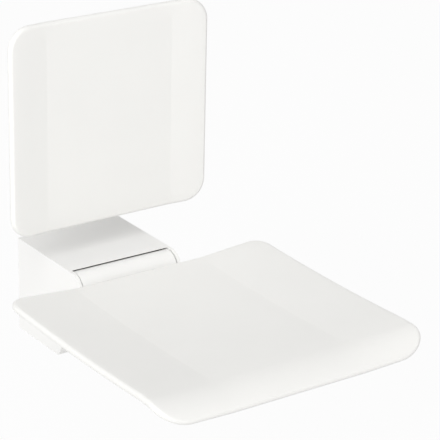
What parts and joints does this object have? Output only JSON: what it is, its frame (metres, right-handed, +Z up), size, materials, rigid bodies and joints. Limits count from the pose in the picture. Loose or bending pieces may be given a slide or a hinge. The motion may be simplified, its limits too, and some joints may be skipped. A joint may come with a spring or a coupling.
{
  "type": "fold down wall seat",
  "caption": "Wall-mounted seat with a hinged panel that folds up against the wall, a console housing the hinge, and a separate backrest panel.",
  "frame": {"origin": "centre of the console's four wall holes, on the wall plane", "axes": "+Z up, +Y into the wall, the seat stands out along -Y, +X across the seat"},
  "size_m": [0.45, 0.617, 0.5339],
  "materials": {
    "seat_shell": "moulded, smooth, bright white",
    "cover_shell": "moulded, smooth, white",
    "coated_casting": "white powder coat",
    "zinc_steel": "zinc plated",
    "stainless": "satin stainless",
    "axle_steel": "ground",
    "bush_bronze": "plain bearing bronze",
    "brake_lining": "dense dark lining",
    "spring_steel": "oiled",
    "pad_rubber": "firm rubber",
    "insert_brass": "knurled insert"
  },
  "bodies": {
    "console": {"wall_plate": "zinc_steel", "bearing_arm_left": "zinc_steel", "bearing_arm_right": "zinc_steel", "stop_bar": "zinc_steel", "stop_pads": "pad_rubber", "upright_stop_rod": "stainless", "axle": "axle_steel", "axle_set_screws": "stainless", "friction_disc_left": "brake_lining", "friction_disc_right": "brake_lining", "pressure_washer_left": "stainless", "pressure_washer_right": "stainless", "disc_spring_left": "spring_steel", "disc_spring_right": "spring_steel", "housing_cover": "cover_shell", "housing_cover_screws": "stainless", "backrest_bracket": "zinc_steel", "backrest_cover": "cover_shell", "backrest_cover_screws": "stainless", "backrest_panel": "seat_shell", "backrest_inserts": "insert_brass", "backrest_screws": "stainless"},
    "seat": {"seat_carrier": "coated_casting", "bush_left": "bush_bronze", "bush_right": "bush_bronze", "barrel_cover_upper": "cover_shell", "barrel_cover_lower": "cover_shell", "barrel_cover_screws": "stainless", "seat_panel": "seat_shell", "seat_inserts": "insert_brass", "seat_screws": "stainless", "seat_washers": "stainless"}
  },
  "joints": [
    {"name": "seat_fold", "type": "hinge", "parent": "console", "child": "seat", "pos_m": [0, -0.16, 0.049], "axis": [-1, 0, 0], "range_deg": [0, 90]}
  ]
}
